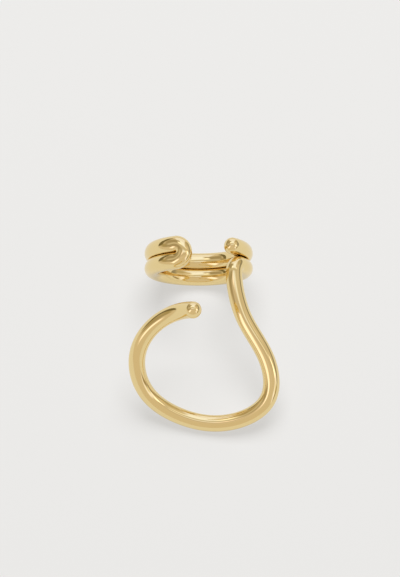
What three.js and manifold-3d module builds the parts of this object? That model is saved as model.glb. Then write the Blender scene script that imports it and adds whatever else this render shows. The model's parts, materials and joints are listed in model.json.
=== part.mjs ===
// Open cuff ring of one bent round wire: a doubled-back coil, a hairpin, an S-bend and an open finger loop.
// Millimetres. +X is to the right, +Y is away from the front and +Z is up.
// The ring lies on its coil and on the near edge of its loop. The origin is under the middle of its box.
import * as THREE from "three";
import { NURBSCurve } from "three/addons/curves/NURBSCurve.js";
import { mergeVertices } from "three/addons/utils/BufferGeometryUtils.js";
import Module from "manifold-3d";

// The wire.
const WIRE_DIAMETER = 2.6;
const WIRE_RADIUS = WIRE_DIAMETER / 2;

// The coil: two turns side by side on one cylinder, joined by a hairpin where they double back.
const COIL_RADIUS = 7.3; // from the axis to the middle of the wire
const COIL_LEAN = 16.4; // degrees that its axis rises towards the back
const COIL_X = -0.85;
const COIL_Y = 10.8;
const TURN_GAP = 0.1; // daylight between the two turns
const BALL_END_ANGLE = 44; // where the far turn starts, degrees up from +X
const HAIRPIN_ANGLE = 119; // where the turns double back
const ELBOW_ANGLE = 29.5; // where the near turn leaves the coil
const ELBOW_RADIUS = 1.45;
const ELBOW_LEAD = 1.9; // length of the handle that sets how straight the wire leaves the elbow

// The finger loop: control points of one smooth cubic curve, from below the elbow to the raised end.
const LOOP_CONTROLS = [
  { place: "neck of the S-bend", x: 5.6, y: -0.3, z: 10.0 },
  { place: "shoulder of the S-bend", x: 10.2, y: -5.4, z: 8.1 },
  { place: "right side, coming down", x: 11.2, y: -12.3, z: 4.2 },
  { place: "near edge, right", x: 3.7, y: -14.7, z: 1.3 },
  { place: "near edge, left", x: -3.2, y: -13.5, z: 1.1 },
  { place: "left side, lifting off", x: -9.7, y: -10.7, z: 4.0 },
  { place: "left side, climbing", x: -11.2, y: -6.0, z: 10.5 },
  { place: "over the finger", x: -7.0, y: -2.4, z: 15.4 },
  { place: "before the raised end", x: -3.2, y: -2.5, z: 17.9 },
  { place: "middle of the raised ball end", x: -1.7, y: -3.7, z: 20.2 },
];

// Facets of the solid.
const SECTION_SIDES = 16;
const TURN_STEPS = 46; // for each coil turn
const HAIRPIN_STEPS = 12;
const ELBOW_STEPS = 7;
const LOOP_STEPS = 84;

// The coil's own directions: along its axis to the back, and across the axis, mostly up.
const lean = THREE.MathUtils.degToRad(COIL_LEAN);
const across = new THREE.Vector3(1, 0, 0);
const alongAxis = new THREE.Vector3(0, Math.cos(lean), Math.sin(lean));
const upCoil = new THREE.Vector3(0, -Math.sin(lean), Math.cos(lean));

// Each turn's middle lies half a turn spacing from the coil's middle.
const halfSpacing = (WIRE_DIAMETER + TURN_GAP) / 2;
// The near turn just touches the surface that the ring lies on.
const coilHeight = WIRE_RADIUS + COIL_RADIUS * Math.cos(lean) + halfSpacing * Math.sin(lean);
const coilMiddle = new THREE.Vector3(COIL_X, COIL_Y, coilHeight);

// A point on the coil's cylinder, at an angle up from +X and at a distance along the axis.
function onCoil(angle, along) {
  return coilMiddle
    .clone()
    .addScaledVector(across, COIL_RADIUS * Math.cos(angle))
    .addScaledVector(upCoil, COIL_RADIUS * Math.sin(angle))
    .addScaledVector(alongAxis, along);
}

// One stretch of wire that stays on the coil's cylinder, from functions of 0 to 1.
function coilStretch(steps, angleAt, alongAt) {
  return { steps, pointAt: (share) => onCoil(angleAt(share), alongAt(share)) };
}

const ballEnd = THREE.MathUtils.degToRad(BALL_END_ANGLE);
const hairpin = THREE.MathUtils.degToRad(HAIRPIN_ANGLE - 360); // the far turn runs backwards round the coil
const elbow = THREE.MathUtils.degToRad(ELBOW_ANGLE);

const farTurn = coilStretch(
  TURN_STEPS,
  (share) => THREE.MathUtils.lerp(ballEnd, hairpin, share),
  () => halfSpacing,
);
const hairpinBend = coilStretch(
  HAIRPIN_STEPS,
  (share) => hairpin - (halfSpacing / COIL_RADIUS) * Math.sin(Math.PI * share),
  (share) => halfSpacing * Math.cos(Math.PI * share),
);
const nearTurn = coilStretch(
  TURN_STEPS,
  (share) => THREE.MathUtils.lerp(hairpin, elbow, share),
  () => -halfSpacing,
);
const elbowBend = coilStretch(
  ELBOW_STEPS,
  (share) => elbow + (ELBOW_RADIUS / COIL_RADIUS) * Math.sin((Math.PI / 2) * share),
  (share) => -halfSpacing - ELBOW_RADIUS * (1 - Math.cos((Math.PI / 2) * share)),
);

// The loop leaves the elbow towards the front, and its knots are even apart from the clamped ends.
function loopStretch() {
  const degree = 3;
  const start = elbowBend.pointAt(1);
  const handle = start.clone().addScaledVector(alongAxis, -ELBOW_LEAD);
  const controls = [start, handle, ...LOOP_CONTROLS.map(({ x, y, z }) => new THREE.Vector3(x, y, z))];
  const spans = controls.length - degree;
  const knots = [];
  for (let i = -degree; i <= spans + degree; i++) knots.push(THREE.MathUtils.clamp(i / spans, 0, 1));
  const curve = new NURBSCurve(degree, knots, controls);
  return { steps: LOOP_STEPS, pointAt: (share) => curve.getPoint(share) };
}

// The middle line of the whole wire. Its stations are even within a stretch and closer in the tight bends.
class WireRoute extends THREE.Curve {
  constructor(stretches) {
    super();
    this.stretches = stretches;
    this.steps = stretches.reduce((sum, stretch) => sum + stretch.steps, 0);
  }

  getPoint(t, target = new THREE.Vector3()) {
    let station = THREE.MathUtils.clamp(t, 0, 1) * this.steps;
    let index = 0;
    while (index < this.stretches.length - 1 && station > this.stretches[index].steps) {
      station -= this.stretches[index].steps;
      index += 1;
    }
    const stretch = this.stretches[index];
    return target.copy(stretch.pointAt(station / stretch.steps));
  }

  // Keeps the route's own spacing, where a curve would otherwise be cut into equal lengths.
  getUtoTmapping(u) {
    return u;
  }
}

// The wire's tube, with flat ends.
function wireTube(route) {
  const section = new THREE.Shape().absarc(0, 0, WIRE_RADIUS, 0, 2 * Math.PI);
  return new THREE.ExtrudeGeometry(section, {
    steps: route.steps,
    curveSegments: SECTION_SIDES / 2,
    extrudePath: route,
  });
}

// A ball on the middle line, a hair thinner than the tube so that the tube's flats swallow its waist.
function ballEndAt(route, t) {
  const ball = new THREE.SphereGeometry(
    WIRE_RADIUS * Math.cos(Math.PI / SECTION_SIDES),
    SECTION_SIDES,
    SECTION_SIDES / 2,
  );
  const upright = new THREE.Vector3(0, 1, 0);
  ball.applyQuaternion(new THREE.Quaternion().setFromUnitVectors(upright, route.getTangent(t)));
  const middle = route.getPoint(t);
  return ball.translate(middle.x, middle.y, middle.z);
}

const wasm = await Module();
wasm.setup();

// A closed three.js geometry as a manifold-3d solid.
function toSolid(geometry) {
  const bare = geometry.index ? geometry.toNonIndexed() : geometry.clone();
  bare.deleteAttribute("normal");
  bare.deleteAttribute("uv");
  const merged = mergeVertices(bare, 1e-4);
  return new wasm.Manifold(
    new wasm.Mesh({
      numProp: 3,
      vertProperties: merged.attributes.position.array,
      triVerts: new Uint32Array(merged.index.array),
    }),
  );
}

// A manifold-3d solid as a three.js geometry.
function toGeometry(solid) {
  const mesh = solid.getMesh();
  const geometry = new THREE.BufferGeometry();
  geometry.setAttribute("position", new THREE.BufferAttribute(mesh.vertProperties, 3));
  geometry.setIndex(new THREE.BufferAttribute(mesh.triVerts, 1));
  geometry.computeVertexNormals();
  return geometry;
}

const route = new WireRoute([farTurn, hairpinBend, nearTurn, elbowBend, loopStretch()]);
const solid = toSolid(wireTube(route))
  .add(toSolid(ballEndAt(route, 0)))
  .add(toSolid(ballEndAt(route, 1)));

const gold = new THREE.MeshStandardMaterial({ color: 0xdcc484, roughness: 0.12, metalness: 1 });
const ringWire = new THREE.Mesh(toGeometry(solid), gold);
ringWire.name = "ring_wire";

const group = new THREE.Group();
group.add(ringWire);

export default group;
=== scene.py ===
"""An open cuff ring bent from one round gold wire, lying in a plain pale studio.

The file is laid out as a Blender add-on and is run as a script. Lengths are metres and angles radians.
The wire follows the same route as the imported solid: a coil of two turns joined by a hairpin, an elbow,
an S-bend and an open loop for the finger. Geometry Nodes wrap the round wire with its ball ends along it,
and press the two turns of the coil together.
"""
import json
import math

import bpy
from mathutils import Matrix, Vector

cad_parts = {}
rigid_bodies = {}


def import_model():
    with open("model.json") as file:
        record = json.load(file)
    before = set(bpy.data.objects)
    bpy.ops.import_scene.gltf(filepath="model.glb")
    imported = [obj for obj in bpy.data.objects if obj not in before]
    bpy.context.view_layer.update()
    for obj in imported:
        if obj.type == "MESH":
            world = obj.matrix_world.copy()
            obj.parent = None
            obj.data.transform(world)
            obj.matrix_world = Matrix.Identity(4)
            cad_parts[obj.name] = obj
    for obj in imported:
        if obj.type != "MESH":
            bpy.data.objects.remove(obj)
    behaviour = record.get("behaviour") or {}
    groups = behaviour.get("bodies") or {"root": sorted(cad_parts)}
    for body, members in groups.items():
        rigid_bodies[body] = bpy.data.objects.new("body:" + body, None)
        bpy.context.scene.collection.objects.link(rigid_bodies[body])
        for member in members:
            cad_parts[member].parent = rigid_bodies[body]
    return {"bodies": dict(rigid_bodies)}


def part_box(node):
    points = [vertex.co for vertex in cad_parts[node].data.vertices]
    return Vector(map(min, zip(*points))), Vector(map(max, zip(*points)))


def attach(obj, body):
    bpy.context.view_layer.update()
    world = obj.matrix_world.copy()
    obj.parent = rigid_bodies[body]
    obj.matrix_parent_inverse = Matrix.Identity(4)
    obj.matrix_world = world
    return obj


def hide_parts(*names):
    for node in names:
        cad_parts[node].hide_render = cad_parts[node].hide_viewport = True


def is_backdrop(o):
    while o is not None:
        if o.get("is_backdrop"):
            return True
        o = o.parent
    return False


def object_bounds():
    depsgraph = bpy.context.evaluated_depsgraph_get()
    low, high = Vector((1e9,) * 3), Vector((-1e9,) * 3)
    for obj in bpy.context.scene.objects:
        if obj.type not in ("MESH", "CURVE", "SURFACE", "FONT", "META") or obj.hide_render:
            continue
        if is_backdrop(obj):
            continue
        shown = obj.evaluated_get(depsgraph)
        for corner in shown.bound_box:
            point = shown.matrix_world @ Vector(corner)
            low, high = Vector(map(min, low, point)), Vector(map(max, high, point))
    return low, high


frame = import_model()
cad_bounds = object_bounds()

bl_info = {
    "name": "Gold Cuff Ring",
    "version": (1, 0, 0),
    "blender": (4, 5, 0),
    "location": "3D View > Sidebar > Cuff Ring",
    "description": "Bends a polished gold cuff ring from one round wire and lights it in a pale studio",
    "category": "Object",
}

NODE = "ring_wire"
BODY = next(iter(frame["bodies"]))
FIT_TOLERANCE = 0.0001  # how far the wire's box may stand inside or outside the imported solid's box

# Control points of the finger loop, from below the elbow to the raised end: x, y, z.
# A fitting program found them, and seven of the thirty numbers were changed afterwards.
LOOP_CONTROLS = (
    ("neck of the S-bend", 0.0056, -0.0003, 0.0100),
    ("shoulder of the S-bend", 0.0102, -0.0054, 0.0081),
    ("right side, coming down", 0.0112, -0.0123, 0.0042),
    ("near edge, right", 0.0037, -0.0147, 0.0013),
    ("near edge, left", -0.0032, -0.0135, 0.0011),
    ("left side, lifting off", -0.0097, -0.0107, 0.0040),
    ("left side, climbing", -0.0112, -0.0060, 0.0105),
    ("over the finger", -0.0070, -0.0024, 0.0154),
    ("before the raised end", -0.0032, -0.0025, 0.0179),
    ("middle of the raised ball end", -0.0017, -0.0037, 0.0202),
)

# Steps along each stretch of the wire, closer together in the tight bends.
TURN_STEPS = 300
HAIRPIN_STEPS = 60
ELBOW_STEPS = 36
LOOP_STEPS = 520
BALL_STEPS = 18

FLOOR_CORNERS = 96
SENSOR_HEIGHT = 36  # millimetres, as Blender's cameras count them
MERGE_DISTANCE = 0.000001  # closes the tips, where the wire's section shrinks to nothing
GRAIN_RANGE = (0.3, 0.7)  # the values of the grain's noise between which the haze varies
HAZE_SPREAD = 0.2  # how far the haze goes below and above the set roughness, as a share of it

# Inputs of the group that makes one softbox.
SOFTBOX_ANGLES = ("Azimuth", "Elevation", "Half width", "Half height", "Edge")

# Inputs of the wire's tree that say how its two turns are pressed together.
PRESS_INPUTS = (
    "Half spacing",
    "Press spread",
    "Far spread",
    "Press shift",
    "Press ramp",
    "Slit",
    "Ball middle",
    "Hairpin",
    "Elbow",
)


class RingWireSizes(bpy.types.PropertyGroup):
    """Sizes of the bent wire, and the angles at which its bends start."""

    wire_diameter: bpy.props.FloatProperty(
        name="Wire diameter",
        description="Thickness of the round wire",
        default=0.0026,
        unit="LENGTH",
    )
    coil_radius: bpy.props.FloatProperty(
        name="Coil radius",
        description="From the coil's axis to the middle of the wire",
        default=0.0073,
        unit="LENGTH",
    )
    coil_lean: bpy.props.FloatProperty(
        name="Coil lean",
        description="How far the coil's axis rises towards the back",
        default=math.radians(16.4),
        subtype="ANGLE",
    )
    coil_place: bpy.props.FloatVectorProperty(
        name="Coil place",
        description="Where the coil's middle stands over the floor",
        default=(-0.00085, 0.0108),
        size=2,
        subtype="XYZ_LENGTH",
    )
    turn_gap: bpy.props.FloatProperty(
        name="Turn gap",
        description="Gap between the two turns before they are pressed together",
        default=0.0001,
        unit="LENGTH",
    )
    press_spread: bpy.props.FloatProperty(
        name="Pressed spread",
        description="How much wider each turn is towards the other, where the two are pressed together",
        default=0.12,
        subtype="FACTOR",
    )
    far_spread: bpy.props.FloatProperty(
        name="Far turn spread",
        description="How much wider the far turn is on its outer side, where it is pressed",
        default=0.2,
        subtype="FACTOR",
    )
    press_shift: bpy.props.FloatProperty(
        name="Pressed shift",
        description="How far the middle of the far turn is pushed towards the near turn",
        default=0.00026,
        unit="LENGTH",
    )
    press_ramp: bpy.props.FloatProperty(
        name="Pressed ramp",
        description="Length of wire over which the pressing sets in from hairpin, elbow and ball end",
        default=0.003,
        unit="LENGTH",
    )
    slit: bpy.props.FloatProperty(
        name="Slit",
        description="Width of the fine dark slit that stays between the pressed turns",
        default=0.00001,
        unit="LENGTH",
    )
    ball_end_angle: bpy.props.FloatProperty(
        name="Ball end angle",
        description="Where the far turn starts, up from the right",
        default=math.radians(44),
        subtype="ANGLE",
    )
    hairpin_angle: bpy.props.FloatProperty(
        name="Hairpin angle",
        description="Where the two turns double back, up from the right",
        default=math.radians(119),
        subtype="ANGLE",
    )
    elbow_angle: bpy.props.FloatProperty(
        name="Elbow angle",
        description="Where the near turn leaves the coil, up from the right",
        default=math.radians(29.5),
        subtype="ANGLE",
    )
    elbow_radius: bpy.props.FloatProperty(
        name="Elbow radius",
        description="Bend radius of the elbow, to the middle of the wire",
        default=0.00145,
        unit="LENGTH",
    )
    elbow_lead: bpy.props.FloatProperty(
        name="Elbow lead",
        description="Length of the handle that sets how straight the wire leaves the elbow",
        default=0.0019,
        unit="LENGTH",
    )
    sides: bpy.props.IntProperty(
        name="Sides",
        description="Faces round the wire",
        default=64,
        min=8,
        max=96,
    )


class GoldFinish(bpy.types.PropertyGroup):
    """Colour and polish of the gold."""

    colour: bpy.props.FloatVectorProperty(
        name="Gold colour",
        description="What the polished metal gives back of white light",
        default=(0.875, 0.70, 0.35),
        size=3,
        subtype="COLOR",
        min=0.0,
        max=1.0,
    )
    rich_colour: bpy.props.FloatVectorProperty(
        name="Thick plating colour",
        description="The slightly deeper gold of the places where the plating is thicker",
        default=(0.865, 0.68, 0.33),
        size=3,
        subtype="COLOR",
        min=0.0,
        max=1.0,
    )
    roughness: bpy.props.FloatProperty(
        name="Roughness",
        description="Haze of the polish",
        default=0.06,
        min=0.0,
        max=1.0,
    )
    plating_size: bpy.props.FloatProperty(
        name="Plating size",
        description="Size of the places where the plating is thicker",
        default=0.006,
        unit="LENGTH",
    )
    ripple_size: bpy.props.FloatProperty(
        name="Ripple size",
        description="Length of the slow ripples that hand polishing leaves",
        default=0.0045,
        unit="LENGTH",
    )
    ripple_height: bpy.props.FloatProperty(
        name="Ripple height",
        description="Height of the slow ripples",
        default=0.00001,
        unit="LENGTH",
    )
    grain_size: bpy.props.FloatProperty(
        name="Polishing grain size",
        description="Size of the finest marks of the buffing wheel",
        default=0.0001,
        unit="LENGTH",
    )


class StudioSettings(bpy.types.PropertyGroup):
    """Floor, light and camera."""

    floor_colour: bpy.props.FloatVectorProperty(
        name="Floor colour",
        description="Colour of the plain pale floor",
        default=(0.15, 0.15, 0.15),
        size=3,
        subtype="COLOR",
        min=0.0,
        max=1.0,
    )
    floor_glow: bpy.props.FloatVectorProperty(
        name="Floor glow",
        description="Light that the floor gives off itself, which keeps the shadows on it pale",
        default=(0.60, 0.592, 0.577),
        size=3,
        subtype="COLOR",
        min=0.0,
        max=1.0,
    )
    floor_radius: bpy.props.FloatProperty(
        name="Floor radius",
        description="Half the width of the round floor",
        default=1.5,
        unit="LENGTH",
    )
    wall_colour: bpy.props.FloatVectorProperty(
        name="Wall colour",
        description="Light of the plain walls between the panels",
        default=(0.73, 0.66, 0.58),
        size=3,
        subtype="COLOR",
        min=0.0,
        max=1.0,
    )
    light_level: bpy.props.FloatProperty(
        name="Light level",
        description="Strength of the whole room of light",
        default=1.0,
        min=0.0,
    )
    key_power: bpy.props.FloatProperty(
        name="Key power",
        description="Power of the soft light high at the back, which lights the floor",
        default=15.0,
        subtype="POWER",
    )
    key_size: bpy.props.FloatProperty(
        name="Key size",
        description="Width of the soft light",
        default=0.6,
        unit="LENGTH",
    )
    key_distance: bpy.props.FloatProperty(
        name="Key distance",
        description="From the ring to the soft light",
        default=0.9,
        unit="LENGTH",
    )
    key_azimuth: bpy.props.FloatProperty(
        name="Key azimuth",
        description="Where the soft light stands, from the back of the scene towards the right",
        default=math.radians(5),
        subtype="ANGLE",
    )
    key_elevation: bpy.props.FloatProperty(
        name="Key elevation",
        description="How high the soft light stands over the floor",
        default=math.radians(70),
        subtype="ANGLE",
    )
    camera_elevation: bpy.props.FloatProperty(
        name="Camera elevation",
        description="How steeply the camera looks down",
        default=math.radians(62.9),
        subtype="ANGLE",
    )
    camera_distance: bpy.props.FloatProperty(
        name="Camera distance",
        description="From the camera to the point of the floor that it looks at",
        default=0.364,
        unit="LENGTH",
    )
    camera_aim: bpy.props.FloatVectorProperty(
        name="Camera aim",
        description="The point of the floor in the middle of the picture",
        default=(-0.00064, 0.01028),
        size=2,
        subtype="XYZ_LENGTH",
    )
    lens: bpy.props.FloatProperty(
        name="Lens",
        description="Focal length on a sensor 36 mm high",
        default=140.4,
        subtype="DISTANCE_CAMERA",
    )


# The room of light, seen from the ring. Each row is a panel or dark gap: the azimuth and elevation of its
# middle, its half width, half height and soft edge, all in degrees, and its colour. A later row lies over the
# earlier ones. Azimuth 0 is the back of the scene, 90 is the right and 180 is the front.
# A fitting program found most of this table. About a third of its numbers were changed or added.
PANELS = (
    ("open doorway on the left", 287, 46, 31, 30, 8, (0.42, 0.36, 0.26)),
    ("dark floor line on the left", 306, -8, 24, 19, 5, (0.20, 0.17, 0.09)),
    ("dim wall on the right", 73, -6, 36, 25, 10, (0.34, 0.32, 0.28)),
    ("bright back wall", 2, 28, 26, 17, 8, (1.00, 1.04, 1.30)),
    ("dark corner on the right", 46, 25, 13, 13, 8, (0.56, 0.49, 0.35)),
    ("overhead bank", 19, 82, 35, 12, 10, (1.45, 1.50, 1.60)),
    ("high back bank", 7, 73, 17, 29, 10, (1.10, 1.20, 1.55)),
    ("ceiling", 8, 87, 68, 8, 10, (0.67, 0.62, 0.55)),
    ("front left box", 232, 44, 9, 28, 8, (1.50, 1.40, 1.60)),
    ("front right box", 105, 33, 8, 16, 8, (1.90, 1.85, 2.00)),
    ("low front right box", 120, 19, 19, 14, 10, (1.13, 1.14, 1.40)),
    ("front ceiling", 182, 70, 45, 6, 5, (0.66, 0.59, 0.53)),
    ("seam on the left", 277, 13, 12, 5, 10, (0.44, 0.37, 0.22)),
    ("stand of the left box", 251, 31, 7, 10, 6, (0.46, 0.39, 0.30)),
    ("seam over the left box", 198, 58, 17, 5, 7, (0.75, 0.68, 0.64)),
    ("gap under the right box", 115, 15, 9, 8, 10, (0.87, 0.83, 0.64)),
    ("seam on the right", 118, 4, 13, 8, 7, (0.42, 0.34, 0.22)),
)


def clamped_cubic(controls, share):
    """A point on the clamped, evenly knotted cubic B-spline of these control points, by de Boor's rule."""
    degree = 3
    spans = len(controls) - degree
    place = share * spans
    span = min(int(place), spans - 1)
    points = [controls[span + i].copy() for i in range(degree + 1)]
    for level in range(1, degree + 1):
        for i in range(degree, level - 1, -1):
            low = min(max(span + i - degree, 0), spans)
            high = min(max(span + i + 1 - level, 0), spans)
            points[i] = points[i - 1].lerp(points[i], (place - low) / (high - low))
    return points[degree]


def coil_frame(sizes):
    """The coil's middle and axis, half the spacing of its turns, and a function for points on its turns."""
    lean = sizes.coil_lean
    across = Vector((1, 0, 0))
    along_axis = Vector((0, math.cos(lean), math.sin(lean)))
    up_coil = Vector((0, -math.sin(lean), math.cos(lean)))
    half_spacing = (sizes.wire_diameter + sizes.turn_gap) / 2
    radius = sizes.coil_radius
    height = sizes.wire_diameter / 2 + radius * math.cos(lean) + half_spacing * math.sin(lean)
    middle = Vector((sizes.coil_place[0], sizes.coil_place[1], height))

    def on_coil(angle, along):
        rim = across * math.cos(angle) + up_coil * math.sin(angle)
        return middle + radius * rim + along * along_axis

    return middle, along_axis, half_spacing, on_coil


def wire_route(sizes):
    """The middle line of the wire, from one ball end's middle to the other's, as a list of points."""
    along_axis, half_spacing, on_coil = coil_frame(sizes)[1:]
    radius = sizes.coil_radius
    hairpin = sizes.hairpin_angle - math.tau  # the far turn runs backwards round the coil
    route = []
    for i in range(TURN_STEPS):
        share = i / TURN_STEPS
        angle = sizes.ball_end_angle + (hairpin - sizes.ball_end_angle) * share
        route.append(on_coil(angle, half_spacing))
    for i in range(HAIRPIN_STEPS):
        turn = math.pi * i / HAIRPIN_STEPS
        angle = hairpin - half_spacing / radius * math.sin(turn)
        route.append(on_coil(angle, half_spacing * math.cos(turn)))
    for i in range(TURN_STEPS):
        angle = hairpin + (sizes.elbow_angle - hairpin) * i / TURN_STEPS
        route.append(on_coil(angle, -half_spacing))
    for i in range(ELBOW_STEPS):
        turn = math.pi / 2 * i / ELBOW_STEPS
        angle = sizes.elbow_angle + sizes.elbow_radius / radius * math.sin(turn)
        route.append(on_coil(angle, -half_spacing - sizes.elbow_radius * (1 - math.cos(turn))))
    bend = sizes.elbow_radius
    start = on_coil(sizes.elbow_angle + bend / radius, -half_spacing - bend)
    controls = [start, start - sizes.elbow_lead * along_axis]
    controls += [Vector(row[1:]) for row in LOOP_CONTROLS]
    route += [clamped_cubic(controls, i / LOOP_STEPS) for i in range(LOOP_STEPS + 1)]
    return route


def with_ball_ends(route, radius):
    """The route drawn out by the wire's radius past both ends, in steps that are even round the balls."""
    tip_steps = [radius * math.sin(math.pi / 2 * i / BALL_STEPS) for i in range(1, BALL_STEPS + 1)]
    out_at_start = (route[0] - route[1]).normalized()
    out_at_end = (route[-1] - route[-2]).normalized()
    before = [route[0] + out_at_start * step for step in reversed(tip_steps)]
    after = [route[-1] + out_at_end * step for step in tip_steps]
    return before + route + after


def route_curve(points):
    """A curve with one open spline through these points."""
    curve = bpy.data.curves.new("wire_route", "CURVE")
    curve.dimensions = "3D"
    spline = curve.splines.new("POLY")
    spline.points.add(len(points) - 1)
    for place, point in zip(spline.points, points):
        place.co = (*point, 1)
    return curve


class NodeMaker:
    """Adds nodes to one tree, each a column to the right of the last, and feeds them values or links."""

    COLUMN = 190

    def __init__(self, tree):
        self.tree = tree
        self.count = 0

    def add(self, kind, inputs=None, **settings):
        """A new node of this kind. An input that is given a socket is linked to it."""
        node = self.tree.nodes.new(kind)
        node.location = (self.COLUMN * self.count, 0)
        self.count += 1
        for name, value in settings.items():
            setattr(node, name, value)
        for key, value in (inputs or {}).items():
            if isinstance(value, bpy.types.NodeSocket):
                self.tree.links.new(value, node.inputs[key])
            else:
                node.inputs[key].default_value = value
        return node

    def mix(self, share, first, second):
        """Colours first and second mixed, with this share of the second."""
        node = self.add("ShaderNodeMix", {0: share, 6: first, 7: second}, data_type="RGBA")
        return node.outputs[2]

    def math(self, operation, first, second=0.0, **settings):
        """The result of one operation on one or two values."""
        return self.add(
            "ShaderNodeMath", {0: first, 1: second}, operation=operation, **settings
        ).outputs[0]


def press_turns(make, wire, given):
    """Presses the coil's two turns together along its axis.

    The pressing sets in along the wire from the hairpin, the elbow and the middle of the coil's ball end. It
    runs both ways from that middle, so the ball's tip is pressed a little too.
    """
    place = make.add("GeometryNodeInputPosition").outputs[0]
    from_middle = make.add(
        "ShaderNodeVectorMath", {0: place, 1: given["Coil middle"]}, operation="SUBTRACT"
    ).outputs["Vector"]
    across = make.add(
        "ShaderNodeVectorMath", {0: from_middle, 1: given["Coil axis"]}, operation="DOT_PRODUCT"
    ).outputs["Value"]
    side = make.math("SIGN", across)
    is_far = make.math("GREATER_THAN", across, 0.0)

    # How far each point lies from the middle of its own turn, counted away from the other turn, and how far
    # from the coil's middle it is wanted.
    out = make.math("SUBTRACT", make.math("ABSOLUTE", across), given["Half spacing"])
    inner = make.math("MULTIPLY", make.math("MINIMUM", out, 0.0), given["Press spread"])
    outer = make.math("MULTIPLY", make.math("MAXIMUM", out, 0.0), given["Far spread"])
    far_only = make.math("MULTIPLY", is_far, make.math("SUBTRACT", outer, given["Press shift"]))
    wanted = make.math("ADD", make.math("ABSOLUTE", across), make.math("ADD", inner, far_only))
    kept_out = make.math("MAXIMUM", wanted, make.math("MULTIPLY", given["Slit"], 0.5))
    move = make.math("MULTIPLY", side, make.math("SUBTRACT", kept_out, make.math("ABSOLUTE", across)))

    # How much of that move each place along the wire gets.
    along = make.add(
        "GeometryNodeInputNamedAttribute", {"Name": "along_wire"}, data_type="FLOAT"
    ).outputs["Attribute"]
    shares = [
        make.math(
            "DIVIDE",
            make.math("ABSOLUTE", make.math("SUBTRACT", along, given[name])),
            given["Press ramp"],
            use_clamp=True,
        )
        for name in ("Ball middle", "Hairpin", "Elbow")
    ]
    on_coil = make.math("LESS_THAN", along, given["Elbow"])
    least = make.math("MINIMUM", make.math("MINIMUM", *shares[:2]), shares[2])
    smooth_share = make.add(
        "ShaderNodeMapRange",
        {"Value": make.math("MULTIPLY", least, on_coil)},
        interpolation_type="SMOOTHSTEP",
    ).outputs["Result"]
    offset = make.add(
        "ShaderNodeVectorMath",
        {0: given["Coil axis"], "Scale": make.math("MULTIPLY", move, smooth_share)},
        operation="SCALE",
    ).outputs["Vector"]
    return make.add(
        "GeometryNodeSetPosition", {"Geometry": wire, "Offset": offset}
    ).outputs[0]


def round_wire_tree():
    """Wraps a round wire with half-ball ends along a curve, and presses its two turns together."""
    tree = bpy.data.node_groups.new("round_wire", "GeometryNodeTree")
    face = tree.interface
    face.new_socket("Route", in_out="INPUT", socket_type="NodeSocketGeometry")
    face.new_socket("Wire radius", in_out="INPUT", socket_type="NodeSocketFloat")
    face.new_socket("Sides", in_out="INPUT", socket_type="NodeSocketInt")
    face.new_socket("Finish", in_out="INPUT", socket_type="NodeSocketMaterial")
    for name in ("Coil middle", "Coil axis"):
        face.new_socket(name, in_out="INPUT", socket_type="NodeSocketVector")
    for name in PRESS_INPUTS:
        face.new_socket(name, in_out="INPUT", socket_type="NodeSocketFloat")
    face.new_socket("Wire", in_out="OUTPUT", socket_type="NodeSocketGeometry")
    make = NodeMaker(tree)
    given = make.add("NodeGroupInput").outputs

    # Within one radius of a tip the section shrinks as a ball's does: sqrt(t (2 - t)) of the full section.
    along = make.add("GeometryNodeSplineParameter").outputs["Length"]
    whole = make.add("GeometryNodeSplineLength").outputs["Length"]
    to_tip = make.math("MINIMUM", along, make.math("SUBTRACT", whole, along))
    share = make.math("DIVIDE", to_tip, given["Wire radius"], use_clamp=True)
    square = make.math("MULTIPLY", share, make.math("SUBTRACT", 2.0, share))
    section_scale = make.math("SQRT", square)
    marked = make.add(
        "GeometryNodeStoreNamedAttribute",
        {"Geometry": given["Route"], "Name": "along_wire", "Value": along},
        data_type="FLOAT",
        domain="POINT",
    )
    section = make.add(
        "GeometryNodeCurvePrimitiveCircle",
        {"Resolution": given["Sides"], "Radius": given["Wire radius"]},
        mode="RADIUS",
    )
    wire = make.add(
        "GeometryNodeCurveToMesh",
        {
            "Curve": marked.outputs[0],
            "Profile Curve": section.outputs["Curve"],
            "Scale": section_scale,
        },
    )
    closed = make.add(
        "GeometryNodeMergeByDistance", {"Geometry": wire.outputs[0], "Distance": MERGE_DISTANCE}
    )
    smooth = make.add("GeometryNodeSetShadeSmooth", {"Geometry": closed.outputs[0]})
    pressed = press_turns(make, smooth.outputs[0], given)
    real = make.add("GeometryNodeRealizeInstances", {"Geometry": pressed})
    finished = make.add(
        "GeometryNodeSetMaterial", {"Geometry": real.outputs[0], "Material": given["Finish"]}
    )
    make.add("NodeGroupOutput", {"Wire": finished.outputs[0]})
    return tree


def bake_nodes(name, curve, tree, values):
    """Runs a Geometry Nodes tree on a curve and keeps the result as a plain mesh object of that name."""
    source = bpy.data.objects.new(name + "_route", curve)
    bpy.context.scene.collection.objects.link(source)
    modifier = source.modifiers.new("shape", "NODES")
    modifier.node_group = tree
    for item in tree.interface.items_tree:
        if item.in_out == "INPUT" and item.name in values:
            modifier[item.identifier] = values[item.name]
    seen = source.evaluated_get(bpy.context.evaluated_depsgraph_get())
    mesh = bpy.data.meshes.new_from_object(seen)
    source.modifiers.remove(modifier)
    bpy.data.objects.remove(source)
    mesh.name = name
    piece = bpy.data.objects.new(name, mesh)
    bpy.context.scene.collection.objects.link(piece)
    return piece


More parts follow.
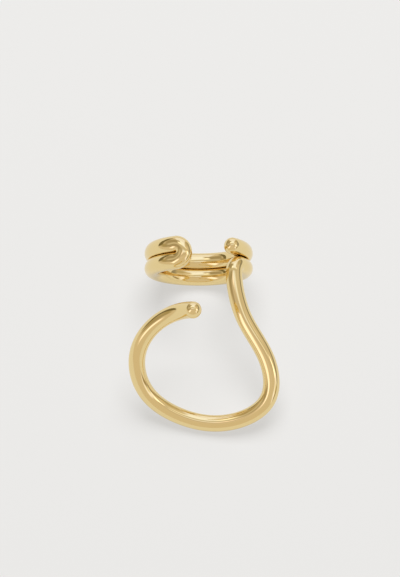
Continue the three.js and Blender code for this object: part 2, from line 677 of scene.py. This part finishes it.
def gold_material(finish):
    """Mirror-polished gold: slow ripples of hand polishing, a faint grain, and plating of uneven depth."""
    material = bpy.data.materials.new("polished_gold")
    material.use_nodes = True
    tree = material.node_tree
    tree.nodes.clear()
    make = NodeMaker(tree)
    place = make.add("ShaderNodeTexCoord").outputs["Object"]
    depth = make.add(
        "ShaderNodeTexNoise",
        {"Vector": place, "Scale": 1 / finish.plating_size, "Detail": 2.0, "Roughness": 0.5},
    ).outputs["Fac"]
    colour = make.mix(depth, (*finish.colour, 1), (*finish.rich_colour, 1))
    ripple = make.add(
        "ShaderNodeTexNoise",
        {"Vector": place, "Scale": 1 / finish.ripple_size, "Detail": 1.0, "Roughness": 0.4},
    ).outputs["Fac"]
    grain = make.add(
        "ShaderNodeTexNoise",
        {"Vector": place, "Scale": 1 / finish.grain_size, "Detail": 2.0, "Roughness": 0.6},
    ).outputs["Fac"]
    haze = make.add(
        "ShaderNodeMapRange",
        {
            "Value": grain,
            "From Min": GRAIN_RANGE[0],
            "From Max": GRAIN_RANGE[1],
            "To Min": finish.roughness * (1 - HAZE_SPREAD),
            "To Max": finish.roughness * (1 + HAZE_SPREAD),
        },
    ).outputs["Result"]
    bump = make.add(
        "ShaderNodeBump",
        {"Height": ripple, "Strength": 1.0, "Distance": finish.ripple_height},
    ).outputs["Normal"]
    shader = make.add(
        "ShaderNodeBsdfPrincipled",
        {"Base Color": colour, "Metallic": 1.0, "Roughness": haze, "Normal": bump},
    )
    make.add("ShaderNodeOutputMaterial", {"Surface": shader.outputs[0]})
    return material


def floor_material(studio):
    """Plain pale board that glows by itself, as one lit from below does."""
    material = bpy.data.materials.new("pale_board")
    material.use_nodes = True
    tree = material.node_tree
    tree.nodes.clear()
    make = NodeMaker(tree)
    shader = make.add(
        "ShaderNodeBsdfPrincipled",
        {
            "Base Color": (*studio.floor_colour, 1),
            "Roughness": 0.9,
            "Specular IOR Level": 0.1,
            "Emission Color": (*studio.floor_glow, 1),
            "Emission Strength": 1.0,
        },
    )
    make.add("ShaderNodeOutputMaterial", {"Surface": shader.outputs[0]})
    return material


def softbox_group():
    """How much of one softbox a direction meets: 1 inside it, 0 outside, with soft edges."""
    tree = bpy.data.node_groups.new("softbox", "ShaderNodeTree")
    face = tree.interface
    face.new_socket("Direction", in_out="INPUT", socket_type="NodeSocketVector")
    for name in SOFTBOX_ANGLES:
        face.new_socket(name, in_out="INPUT", socket_type="NodeSocketFloat")
    face.new_socket("Share", in_out="OUTPUT", socket_type="NodeSocketFloat")
    make = NodeMaker(tree)
    given = make.add("NodeGroupInput").outputs
    # Turned so that the box's middle lies along +Y.
    level = make.add(
        "ShaderNodeVectorRotate",
        {"Vector": given["Direction"], "Angle": given["Azimuth"]},
        rotation_type="Z_AXIS",
    ).outputs[0]
    down = make.math("MULTIPLY", given["Elevation"], -1.0)
    facing = make.add(
        "ShaderNodeVectorRotate", {"Vector": level, "Angle": down}, rotation_type="X_AXIS"
    ).outputs[0]
    parts = make.add("ShaderNodeSeparateXYZ", {"Vector": facing}).outputs
    sideways = make.math("ABSOLUTE", make.math("ARCTAN2", parts["X"], parts["Y"]))
    upwards = make.math("ABSOLUTE", make.math("ARCSINE", parts["Z"]))
    shares = []
    for angle, half in ((sideways, "Half width"), (upwards, "Half height")):
        outer = make.math("ADD", given[half], make.math("MULTIPLY", given["Edge"], 0.5))
        inner = make.math("SUBTRACT", given[half], make.math("MULTIPLY", given["Edge"], 0.5))
        fade = make.add(
            "ShaderNodeMapRange",
            {"Value": angle, "From Min": outer, "From Max": inner, "To Min": 0.0, "To Max": 1.0},
            interpolation_type="SMOOTHSTEP",
        )
        shares.append(fade.outputs["Result"])
    make.add("NodeGroupOutput", {"Share": make.math("MULTIPLY", *shares)})
    return tree


def room_of_light(studio):
    """The world: a plain room whose walls are softboxes and dim gaps. It gives no diffuse light."""
    world = bpy.data.worlds.new("studio_room")
    world.use_nodes = True
    tree = world.node_tree
    tree.nodes.clear()
    make = NodeMaker(tree)
    direction = make.add("ShaderNodeTexCoord").outputs["Generated"]
    group = softbox_group()
    light = (*studio.wall_colour, 1)
    for name, azimuth, elevation, width, height, edge, colour in PANELS:
        panel = make.add("ShaderNodeGroup", node_tree=group)
        panel.label = name
        tree.links.new(direction, panel.inputs["Direction"])
        angles = (azimuth, elevation, width, height, edge)
        for socket, angle in zip(SOFTBOX_ANGLES, angles):
            panel.inputs[socket].default_value = math.radians(angle)
        light = make.mix(panel.outputs["Share"], light, (*colour, 1))
    shine = make.add("ShaderNodeBackground", {"Color": light, "Strength": studio.light_level})
    make.add("ShaderNodeOutputWorld", {"Surface": shine.outputs[0]})
    world.cycles_visibility.diffuse = False
    bpy.context.scene.world = world


def floor_disc(studio):
    """A round floor under the ring."""
    mesh = bpy.data.meshes.new("floor")
    angles = [math.tau * i / FLOOR_CORNERS for i in range(FLOOR_CORNERS)]
    radius = studio.floor_radius
    rim = [(radius * math.cos(angle), radius * math.sin(angle), 0) for angle in angles]
    mesh.from_pydata(rim, [], [list(range(FLOOR_CORNERS))])
    mesh.materials.append(floor_material(studio))
    floor = bpy.data.objects.new("floor", mesh)
    bpy.context.scene.collection.objects.link(floor)
    return floor


def key_light(studio):
    """A wide soft light high at the back. It lights the floor and doesn't show as a shine on the gold."""
    data = bpy.data.lights.new("key", "AREA")
    data.size = studio.key_size
    data.energy = studio.key_power
    key = bpy.data.objects.new("key", data)
    azimuth, elevation = studio.key_azimuth, studio.key_elevation
    level = Vector((math.sin(azimuth), math.cos(azimuth), 0))
    towards = math.cos(elevation) * level + Vector((0, 0, math.sin(elevation)))
    key.location = studio.key_distance * towards
    key.rotation_euler = towards.to_track_quat("Z", "Y").to_euler()
    key.visible_glossy = False
    bpy.context.scene.collection.objects.link(key)


def studio_camera(studio):
    """The camera in front of the ring, looking down on it."""
    data = bpy.data.cameras.new("camera")
    data.sensor_fit = "VERTICAL"
    data.sensor_height = SENSOR_HEIGHT
    data.lens = studio.lens
    data.clip_start = 0.01
    data.clip_end = 10
    camera = bpy.data.objects.new("camera", data)
    bpy.context.scene.collection.objects.link(camera)
    up = studio.camera_elevation
    away = Vector((0, -math.cos(up), math.sin(up)))
    camera.location = Vector((*studio.camera_aim, 0)) + studio.camera_distance * away
    camera.rotation_euler = (math.pi / 2 - up, 0, 0)
    bpy.context.scene.camera = camera


def check_fit(wire):
    """Stops if the wire's box isn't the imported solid's box."""
    low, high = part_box(NODE)
    for axis in range(3):
        places = [vertex.co[axis] for vertex in wire.data.vertices]
        gap = max(abs(min(places) - low[axis]), abs(max(places) - high[axis]))
        if gap > FIT_TOLERANCE:
            raise RuntimeError(f"the wire is {gap * 1000:.2f} mm off the packed solid along axis {axis}")


class CUFFRING_OT_bend_wire(bpy.types.Operator):
    """Bends the gold wire along its route and rounds both ends"""

    bl_idname = "cuff_ring.bend_wire"
    bl_label = "Bend the wire"

    def execute(self, context):
        sizes = context.scene.cuff_ring_wire
        radius = sizes.wire_diameter / 2
        curve = route_curve(with_ball_ends(wire_route(sizes), radius))
        gold = gold_material(context.scene.cuff_ring_gold)
        middle, along_axis, half_spacing, _ = coil_frame(sizes)
        far_turn = sizes.coil_radius * (sizes.ball_end_angle - sizes.hairpin_angle + math.tau)
        near_turn = sizes.coil_radius * (sizes.elbow_angle - sizes.hairpin_angle + math.tau)
        hairpin = radius + far_turn + math.pi / 2 * half_spacing
        values = {
            "Wire radius": radius,
            "Sides": sizes.sides,
            "Finish": gold,
            "Coil middle": middle,
            "Coil axis": along_axis,
            "Half spacing": half_spacing,
            "Press spread": sizes.press_spread,
            "Far spread": sizes.far_spread,
            "Press shift": sizes.press_shift,
            "Press ramp": sizes.press_ramp,
            "Slit": sizes.slit,
            "Ball middle": radius,
            "Hairpin": hairpin,
            "Elbow": hairpin + math.pi / 2 * half_spacing + near_turn,
        }
        wire = bake_nodes("gold_wire", curve, round_wire_tree(), values)
        check_fit(wire)
        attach(wire, BODY)
        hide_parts(NODE)
        return {"FINISHED"}


class CUFFRING_OT_set_stage(bpy.types.Operator):
    """Lays the pale floor, lights the room and sets the camera"""

    bl_idname = "cuff_ring.set_stage"
    bl_label = "Set the stage"

    def execute(self, context):
        studio = context.scene.cuff_ring_studio
        floor_disc(studio)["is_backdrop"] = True
        room_of_light(studio)
        key_light(studio)
        studio_camera(studio)
        context.scene.view_settings.view_transform = "Standard"
        return {"FINISHED"}


class CUFFRING_PT_panel(bpy.types.Panel):
    """Sizes, finish and stage of the cuff ring"""

    bl_label = "Cuff Ring"
    bl_space_type = "VIEW_3D"
    bl_region_type = "UI"
    bl_category = "Cuff Ring"

    def draw(self, context):
        for group_name in ("cuff_ring_wire", "cuff_ring_gold", "cuff_ring_studio"):
            group = getattr(context.scene, group_name)
            box = self.layout.box()
            for name in group.__annotations__:
                box.prop(group, name)
        self.layout.operator(CUFFRING_OT_bend_wire.bl_idname)
        self.layout.operator(CUFFRING_OT_set_stage.bl_idname)


CLASSES = (
    RingWireSizes,
    GoldFinish,
    StudioSettings,
    CUFFRING_OT_bend_wire,
    CUFFRING_OT_set_stage,
    CUFFRING_PT_panel,
)


def register():
    for cls in CLASSES:
        bpy.utils.register_class(cls)
    bpy.types.Scene.cuff_ring_wire = bpy.props.PointerProperty(type=RingWireSizes)
    bpy.types.Scene.cuff_ring_gold = bpy.props.PointerProperty(type=GoldFinish)
    bpy.types.Scene.cuff_ring_studio = bpy.props.PointerProperty(type=StudioSettings)


def unregister():
    del bpy.types.Scene.cuff_ring_studio
    del bpy.types.Scene.cuff_ring_gold
    del bpy.types.Scene.cuff_ring_wire
    for cls in reversed(CLASSES):
        bpy.utils.unregister_class(cls)


def main():
    register()
    bpy.ops.cuff_ring.bend_wire()
    bpy.ops.cuff_ring.set_stage()
    boxes = {"cad": cad_bounds, "visual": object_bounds()}
    plain = {name: [list(corner) for corner in box] for name, box in boxes.items()}


if __name__ == "__main__":
    main()
